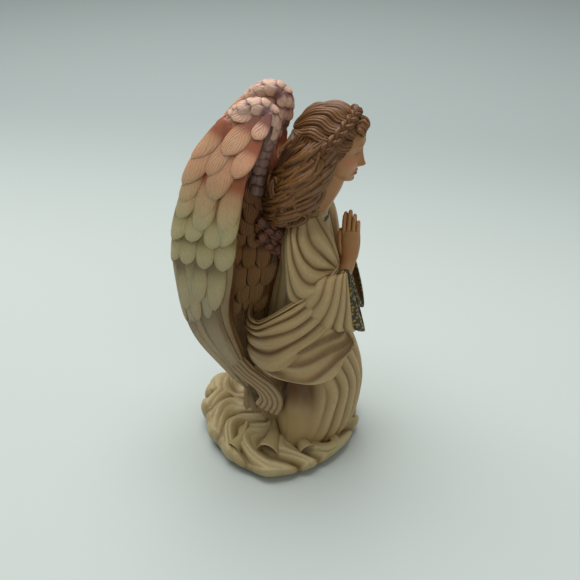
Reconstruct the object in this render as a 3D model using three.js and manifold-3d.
// A kneeling, praying angel figurine in cast resin.
// Frame: millimetres, +Z up, origin on the table under the middle of the base.
// The angel faces -Y, so its right hand and right wing are on the -X side.

import * as THREE from "three";
import { LoftGeometry } from "three/addons/geometries/LoftGeometry.js";
import { mergeVertices } from "three/addons/utils/BufferGeometryUtils.js";
import Module from "manifold-3d";

const wasm = await Module();
wasm.setup();

// ---------- driving dimensions ----------

const GLUE_GAP = 0.3; // bond line left between neighbouring castings
const BASE_RADIUS = 36;
const BASE_LOBES = 9; // scallops round the rim of the base
const LOBE_DEPTH = 1.5;
const FELT_THICKNESS = 1.2;
const FELT_INSET = 2.5;
const HEAD_CENTRE = new THREE.Vector3(0, -22.2, 142.2);
const HEAD_BOW = THREE.MathUtils.degToRad(13);
const HEAD_HALF = { width: 10.2, depth: 12.0, height: 15.2 };
const SHEET_HALF = 1.2; // half the thickness of hanging cloth
const WING_HALF = 1.5; // half the thickness of a wing wall
const PEG_RADIUS = 1.4;
const PEG_LENGTH = 15;
const RIGHT = -1;
const LEFT = 1;

const COLOURS = {
  gown: 0xcdbd93,
  base: 0xc6b68c,
  skin: 0xc08a5c,
  hair: 0x7a5230,
  trim: 0x5c5233,
  crest: 0xb98a8a,
  coverts: 0xd9a183,
  flight: 0xcfc49a,
  tip: 0xbda184,
  felt: 0x3c4a3a,
  steel: 0xa8a8a8,
};

// ---------- small tools ----------

const v3 = (x, y, z) => new THREE.Vector3(x, y, z);

// A smooth line through a few points, as a function of 0 to 1.
function line(points) {
  const curve = new THREE.CatmullRomCurve3(points.map((p) => v3(...p)), false, "centripetal");
  return (t) => curve.getPoint(THREE.MathUtils.clamp(t, 0, 1));
}

function indexed(geometry) {
  const bare = new THREE.BufferGeometry();
  bare.setAttribute("position", geometry.getAttribute("position"));
  bare.setIndex(geometry.index);
  const merged = mergeVertices(bare, 1e-4);
  const index = merged.index.array;
  const faces = [];
  for (let i = 0; i < index.length; i += 3) {
    const [a, b, c] = [index[i], index[i + 1], index[i + 2]];
    if (a !== b && b !== c && a !== c) faces.push([a, b, c]);
  }
  return { vertProperties: merged.attributes.position.array, faces };
}

// A closed geometry as a solid, turned right side out if its sections wound the other way.
function solid(geometry) {
  const { vertProperties, faces } = indexed(geometry);
  const make = (triangles) => {
    const triVerts = new Uint32Array(triangles.flat());
    return new wasm.Manifold(new wasm.Mesh({ numProp: 3, vertProperties, triVerts }));
  };
  const made = make(faces);
  return made.volume() > 0 ? made : make(faces.map(([a, b, c]) => [a, c, b]));
}

const loft = (sections) => solid(new LoftGeometry(sections, { capStart: true, capEnd: true }));

// An oval of points round a centre, in the plane of two unit directions.
function oval(centre, across, up, halfAcross, halfUp, count) {
  return Array.from({ length: count }, (_, i) => {
    const a = (i / count) * 2 * Math.PI;
    return centre.clone().addScaledVector(across, halfAcross * Math.cos(a)).addScaledVector(up, halfUp * Math.sin(a));
  });
}

// A limb: ovals square to a smooth line through the stations. Each station gives its centre and its half
// sizes, first along `side` and then square to it. grow makes the whole limb larger all round.
function limb(stations, grow = 0, { count = 18, steps = 9, side = v3(1, 0, 0) } = {}) {
  const centre = line(stations.map((s) => s.at));
  const size = line(stations.map((s) => [...s.half, 0]));
  const sections = [];
  for (let i = 0; i <= steps; i++) {
    const t = i / steps;
    const along = centre(t + 0.01).sub(centre(t - 0.01)).normalize();
    const across = side.clone().addScaledVector(along, -side.dot(along)).normalize();
    const up = along.clone().cross(across);
    const end = i === 0 ? -grow : i === steps ? grow : 0;
    const half = size(t);
    sections.push(oval(centre(t).addScaledVector(along, end), across, up, half.x + grow, half.y + grow, count));
  }
  return loft(sections);
}

// A trunk: level ovals stacked up the Z axis.
function trunk(stations, grow = 0, count = 28) {
  const last = stations.length - 1;
  return loft(
    stations.map((s, i) => {
      const z = s.z + (i === 0 ? -grow : i === last ? grow : 0);
      return oval(v3(0, s.y, z), v3(1, 0, 0), v3(0, 1, 0), s.half[0] + grow, s.half[1] + grow, count);
    }),
  );
}

function ball(centre, half, tilt, grow = 0, around = 22, rings = 14) {
  const geometry = new THREE.SphereGeometry(1, around, rings);
  geometry.scale(half.width + grow, half.depth + grow, half.height + grow);
  geometry.rotateX(tilt);
  geometry.translate(centre.x, centre.y, centre.z);
  return solid(geometry);
}

// A thick sheet on a surface S(u, v): a grid of points on each face, joined round all four edges.
function sheet(surface, [u0, u1], [v0, v1], half, grow = 0, along = 14, across = 10) {
  const step = 1e-3;
  const row = 2 * (across + 1);
  const points = [];
  for (let i = 0; i <= along; i++) {
    const u = u0 + ((u1 - u0) * i) / along;
    const front = [];
    const back = [];
    for (let j = 0; j <= across; j++) {
      const v = v0 + ((v1 - v0) * j) / across;
      const alongU = surface(u + step, v).sub(surface(u - step, v)).normalize();
      const alongV = surface(u, v + step).sub(surface(u, v - step)).normalize();
      const normal = alongU.clone().cross(alongV).normalize().multiplyScalar(half + grow);
      const at = surface(u, v);
      at.addScaledVector(alongU, i === 0 ? -grow : i === along ? grow : 0);
      at.addScaledVector(alongV, j === 0 ? -grow : j === across ? grow : 0);
      front.push(at.clone().add(normal));
      back.push(at.clone().sub(normal));
    }
    points.push(...front, ...back.reverse());
  }
  const index = [];
  const quad = (a, b, c, d) => index.push(a, b, c, a, c, d);
  for (let i = 0; i < along; i++) {
    for (let j = 0; j < row; j++) {
      const next = (j + 1) % row;
      quad(i * row + j, i * row + next, (i + 1) * row + next, (i + 1) * row + j);
    }
  }
  for (let j = 0; j < across; j++) {
    const [near, far] = [j, row - 1 - j];
    const end = along * row;
    quad(near, far, far - 1, near + 1);
    quad(end + near, end + near + 1, end + far - 1, end + far);
  }
  const geometry = new THREE.BufferGeometry().setFromPoints(points);
  geometry.setIndex(index);
  return solid(geometry);
}

const mirrored = (points, side) => points.map(([x, y, z]) => [side * x, y, z]);

// ---------- base ----------

const rimRadius = (angle) => BASE_RADIUS + LOBE_DEPTH * Math.cos(BASE_LOBES * angle);

// Height of the puddled cloth: low at the rim, a mound in the middle, with folds that run outwards.
function clothHeight(share, angle) {
  const mound = 6 + 16 * (1 - share ** 2);
  const folds = 1.6 * Math.sin(BASE_LOBES * angle + 4 * share) * share * (1.15 - share);
  return mound + 2.5 * folds;
}

function baseRing(share, z, count = 45) {
  return Array.from({ length: count }, (_, i) => {
    const a = (i / count) * 2 * Math.PI;
    const r = rimRadius(a) * share;
    return v3(r * Math.cos(a), r * Math.sin(a), typeof z === "function" ? z(share, a) : z);
  });
}

function baseDrapery() {
  const floor = FELT_THICKNESS + GLUE_GAP;
  const shares = [0.98, 0.88, 0.76, 0.62, 0.46, 0.28, 0.12];
  return loft([baseRing(0.93, floor), baseRing(1, floor + 2), ...shares.map((s) => baseRing(s, clothHeight))]);
}

function feltPad() {
  const count = 72;
  const outline = Array.from({ length: count }, (_, i) => {
    const a = (i / count) * 2 * Math.PI;
    const r = rimRadius(a) - FELT_INSET;
    return new THREE.Vector2(r * Math.cos(a), r * Math.sin(a));
  });
  return solid(new THREE.ExtrudeGeometry(new THREE.Shape(outline), { depth: FELT_THICKNESS, bevelEnabled: false }));
}

// ---------- body ----------

const SKIRT = [
  { z: 7, y: -9, half: [26, 25.5] },
  { z: 20, y: -9.5, half: [26.5, 26] },
  { z: 33, y: -10, half: [27, 26] },
  { z: 45, y: -9.5, half: [26, 24] },
  { z: 55, y: -8.5, half: [23, 19.5] },
  { z: 64, y: -8.5, half: [18, 13.5] },
];

const BODICE = [
  { z: 64.5, y: -8.5, half: [17.5, 12.5] },
  { z: 77, y: -10, half: [16.5, 12] },
  { z: 90, y: -11, half: [17.5, 11.5] },
  { z: 101, y: -11, half: [18.5, 11] },
  { z: 108, y: -11, half: [16.5, 10] },
  { z: 113, y: -11, half: [11, 8] },
];

const skirt = (grow) => trunk(SKIRT, grow);
const bodice = (grow) => trunk(BODICE, grow);

const neck = (grow) =>
  limb(
    [
      { at: [0, -9.5, 109], half: [7.5, 7] },
      { at: [0, -13, 117], half: [6.6, 6.4] },
      { at: [0, -17.2, 125], half: [6.6, 6.4] },
      { at: [0, -19.6, 132.5], half: [6.6, 6.4] },
    ],
    grow,
    { steps: 6 },
  );

const head = (grow) => ball(HEAD_CENTRE, HEAD_HALF, HEAD_BOW, grow);

// ---------- hair ----------

const hairCap = (grow) => {
  const shell = ball(v3(0, -19.6, 143.7), { width: 13, depth: 14.5, height: 15 }, HEAD_BOW, grow);
  const face = new THREE.BoxGeometry(40, 30, 60).rotateX(-0.5).translate(0, -44.2, 132.7);
  return grow ? shell : shell.subtract(solid(face));
};

const hairLocks = (grow) =>
  limb(
    [
      { at: [0, -11, 148], half: [9, 7] },
      { at: [0, -5.5, 140], half: [14.5, 10.5] },
      { at: [0, -5, 130], half: [18.5, 11.5] },
      { at: [0, -6, 121], half: [19.5, 12] },
      { at: [0, -7, 114.5], half: [17, 10] },
    ],
    grow,
    { count: 26 },
  );

// A band from ear to ear over the front of the crown.
const braid = (grow) => {
  const across = v3(1, 0, 0);
  const up = v3(0, -0.62, 0.78);
  const centre = v3(0, -20.1, 144.2);
  const stations = [-80, -50, -25, 0, 25, 50, 80].map((degrees) => {
    const a = THREE.MathUtils.degToRad(degrees);
    const at = centre.clone().addScaledVector(across, 14 * Math.sin(a)).addScaledVector(up, 15.6 * Math.cos(a));
    return { at: at.toArray(), half: [2.1, 2.1] };
  });
  return limb(stations, grow, { count: 10, steps: 16, side: v3(0, 0.78, 0.62) });
};

// ---------- arms ----------

const onSide = (side, stations) => stations.map((s) => ({ at: [side * s.at[0], s.at[1], s.at[2]], half: s.half }));

// Forearm and hand, from inside the sleeve up to the fingertips; the palms all but touch.
const FOREARM_AND_HAND = [
  { at: [16.5, -17.5, 78], half: [4.4, 4.4] },
  { at: [10.5, -24, 84.5], half: [4, 4] },
  { at: [4.6, -27.8, 92], half: [3.2, 3.6] },
  { at: [2.6, -28.3, 99.5], half: [2.1, 5] },
  { at: [2.4, -28.7, 106.6], half: [1.9, 4.8] },
  { at: [2.1, -28.2, 113.3], half: [1.2, 2.6] },
];
const hand = (side) => (grow) => limb(onSide(side, FOREARM_AND_HAND), grow, { count: 14, steps: 10 });

// Bell sleeve: shoulder, down the upper arm, then forwards to a tall open cuff.
const SLEEVE = [
  { at: [11.5, -11, 108], half: [8, 5] },
  { at: [17.5, -12.5, 103.5], half: [7.8, 8] },
  { at: [19.8, -13.4, 93.5], half: [7, 9] },
  { at: [19.8, -17, 84], half: [6.5, 10.5] },
  { at: [17, -23.5, 79.5], half: [5.6, 12.3] },
  { at: [13.2, -29, 79], half: [4.9, 13.2] },
  { at: [10.2, -33, 79.6], half: [4.5, 13.6] },
];

// The left sleeve has slid a little further up the forearm than the right one.
const SLEEVE_SLIDE = 3.5;
const slid = (side, stations) =>
  onSide(side, stations).map(({ at: [x, y, z], half }) => {
    const slide = side === LEFT ? SLEEVE_SLIDE * THREE.MathUtils.smoothstep(-y, 14, 32) : 0;
    return { at: [x, y + slide, z], half };
  });
const sleeve = (side) => (grow) => limb(slid(side, SLEEVE), grow, { count: 20, steps: 12 });

const CUFF_DEPTH = 0.9;
const CUFF = [
  { at: [11.8, -31, 79.3], half: [4.7 + CUFF_DEPTH, 13.4 + CUFF_DEPTH] },
  { at: [10.1, -33.2, 79.6], half: [4.5 + CUFF_DEPTH, 13.6 + CUFF_DEPTH] },
];
const cuff = (side) => (grow) => limb(slid(side, CUFF), grow, { count: 20, steps: 2 });

const collar = (grow) =>
  limb(
    [
      { at: [0, -11.2, 110.6], half: [11.5, 9.2] },
      { at: [0, -12, 113.3], half: [9.4, 8] },
    ],
    grow,
    { count: 24, steps: 2 },
  );

// ---------- mantle: a stole carried over both forearms and round behind the hips ----------

const MANTLE_TOP = [
  [12, -25.5, 91],
  [21, -17.5, 87.5],
  [27.5, -9.5, 84],
  [28.5, -1, 80],
  [23, 7.5, 77.5],
  [12, 11, 76],
  [0, 12, 75.5],
];
const MANTLE_HEM = [
  [18, -28.5, 66],
  [26, -22, 68],
  [31, -14, 63],
  [32.5, -6.5, 56],
  [28, 2.5, 50.5],
  [16, 9.5, 47.5],
  [0, 12.5, 46.5],
];
const roundBehind = (half) => line([...mirrored(half, RIGHT), ...mirrored(half, LEFT).reverse().slice(1)]);
const mantleTop = roundBehind(MANTLE_TOP);
const mantleHem = roundBehind(MANTLE_HEM);
const mantleAt = (u, v) => mantleTop(u).lerp(mantleHem(u), v);
const mantle = (grow) => sheet(mantleAt, [0.06, 0.94], [0, 1], SHEET_HALF, grow, 26, 4);

// ---------- wings ----------

// Three lines from crest to tip: the inner edge by the spine, the ridge behind, and the outer rim.
const WING_INNER = [
  [10.5, -0.5, 158],
  [10.2, 0, 149],
  [9.2, 4.5, 137.5],
  [8, 7, 125],
  [7.5, 6, 108],
  [8, 9, 90],
  [11, 12.5, 66],
  [13.5, 10, 42],
];
const WING_RIDGE = [
  [11.5, 5, 161],
  [12, 13, 157],
  [13, 23.5, 149],
  [15, 35, 130],
  [16, 41.5, 106],
  [16.5, 41.5, 84],
  [15.5, 36.5, 56],
  [14, 21, 35],
];
const WING_RIM = [
  [12.5, -0.5, 157.5],
  [15.5, 0.8, 152],
  [21, 4, 143.5],
  [27, 8, 131.5],
  [30, 10.5, 114],
  [29.5, 12.5, 95],
  [24, 16.5, 69],
  [16.5, 12.5, 43],
];

// A wing surface: at each u, a curved line through the three edges.
function wingSurface(side) {
  const [inner, ridge, rim] = [WING_INNER, WING_RIDGE, WING_RIM].map((p) => line(mirrored(p, side)));
  return (u, v) => {
    const [a, b, c] = [inner(u), ridge(u), rim(u)];
    const [wa, wb, wc] = [(2 * v - 1) * (v - 1), 4 * v * (1 - v), v * (2 * v - 1)];
    return a.multiplyScalar(wa).addScaledVector(b, wb).addScaledVector(c, wc);
  };
}

const wingPanel = (side, uRange, vRange, half = WING_HALF) => (grow) =>
  sheet(wingSurface(side), uRange, vRange, half, grow, 12, 6);

// The rolled leading edge: up from the shoulder blade, over the wrist joint and a little way down behind.
const CREST = [
  { at: [9, 8.5, 124], half: [2.2, 2.6] },
  { at: [9.8, 4.6, 138.5], half: [2.6, 3] },
  { at: [10.8, 1.4, 149], half: [3, 3.3] },
  { at: [11.3, 1.8, 157], half: [3.5, 3.4] },
  { at: [11.8, 7.5, 159.5], half: [3.7, 3] },
  { at: [12.3, 14, 156.5], half: [3.6, 2.4] },
];
const crest = (side) => (grow) => limb(onSide(side, CREST), grow, { steps: 14 });

// The thick root that joins a wing to the shoulder blade.
const WING_ROOT = [
  { at: [6.5, -2.5, 101], half: [4.5, 6] },
  { at: [7.3, 3, 105], half: [3.8, 6] },
  { at: [8, 8, 110], half: [3, 5] },
];
const wingRoot = (side) => (grow) => limb(onSide(side, WING_ROOT), grow, { steps: 4 });

// The curled tip, turned down onto the base.
const WING_TIP = [
  { at: [15, 14, 40], half: [2.4, 4.4] },
  { at: [15.5, 7.5, 34.8], half: [2.1, 4.6] },
  { at: [16, 2.8, 31], half: [1.9, 4.8] },
  { at: [16.3, 1, 26], half: [1.7, 5] },
  { at: [16.5, 2, 20.5], half: [1.5, 5.2] },
];
const wingTip = (side) => (grow) => limb(onSide(side, WING_TIP), grow, { count: 14, steps: 6 });

// Steel locating peg, from inside the bodice into the wing root.
const peg = (side) => (grow) => {
  const geometry = new THREE.CylinderGeometry(PEG_RADIUS + grow, PEG_RADIUS + grow, PEG_LENGTH + 2 * grow, 20);
  geometry.translate(side * 7, -0.5, 104);
  return solid(geometry);
};

// ---------- assembly ----------

// Firmest first: each piece is cut back from all the pieces before it, less the glue gap.
const pieces = [
  ["felt_pad", "felt", () => feltPad()],
  ["right_wing_peg", "steel", peg(RIGHT)],
  ["left_wing_peg", "steel", peg(LEFT)],
  ["head", "skin", head],
  ["neck", "skin", neck],
  ["right_hand", "skin", hand(RIGHT)],
  ["left_hand", "skin", hand(LEFT)],
  ["collar_trim", "trim", collar],
  ["bodice", "gown", bodice],
  ["gown_skirt", "gown", skirt],
  ["hair_braid", "hair", braid],
  ["hair_cap", "hair", hairCap],
];
for (const [name, side] of [["right", RIGHT], ["left", LEFT]]) {
  pieces.push(
    [`${name}_wing_root`, "crest", wingRoot(side)],
    [`${name}_wing_crest`, "crest", crest(side)],
    [`${name}_wing_lining`, "coverts", wingPanel(side, [0.1, 0.86], [0.02, 0.46])],
    [`${name}_wing_coverts`, "coverts", wingPanel(side, [0.1, 0.48], [0.48, 1])],
    [`${name}_wing_flight_feathers`, "flight", wingPanel(side, [0.49, 0.98], [0.48, 1])],
    [`${name}_wing_tip`, "tip", wingTip(side)],
    [`${name}_sleeve`, "gown", sleeve(side)],
    [`${name}_cuff_trim`, "trim", cuff(side)],
  );
}
pieces.push(
  ["mantle", "gown", mantle],
  ["hair_locks", "hair", hairLocks],
  ["base_drapery", "base", () => baseDrapery()],
);

function near(a, b) {
  const [p, q] = [a.boundingBox(), b.boundingBox()];
  return [0, 1, 2].every((k) => p.min[k] < q.max[k] && q.min[k] < p.max[k]);
}

function mesh(name, body, colour) {
  const { vertProperties, triVerts, numProp } = body.getMesh();
  const positions = new Float32Array((vertProperties.length / numProp) * 3);
  for (let i = 0; i < positions.length / 3; i++) {
    positions.set(vertProperties.subarray(i * numProp, i * numProp + 3), i * 3);
  }
  const geometry = new THREE.BufferGeometry();
  geometry.setAttribute("position", new THREE.BufferAttribute(positions, 3));
  geometry.setIndex(new THREE.BufferAttribute(triVerts, 1));
  geometry.computeVertexNormals();
  const metal = colour === "steel" ? 1 : 0;
  const material = new THREE.MeshStandardMaterial({ color: COLOURS[colour], roughness: 0.55, metalness: metal });
  const made = new THREE.Mesh(geometry, material);
  made.name = name;
  return made;
}

const figurine = new THREE.Group();
const cutters = [];
for (const [name, colour, make] of pieces) {
  let body = make(0);
  for (const cutter of cutters) {
    if (near(body, cutter)) body = body.subtract(cutter);
  }
  const [largest] = body.simplify(0.03).decompose().sort((a, b) => b.volume() - a.volume());
  figurine.add(mesh(name, largest, colour));
  cutters.push(make(GLUE_GAP));
}

export default figurine;
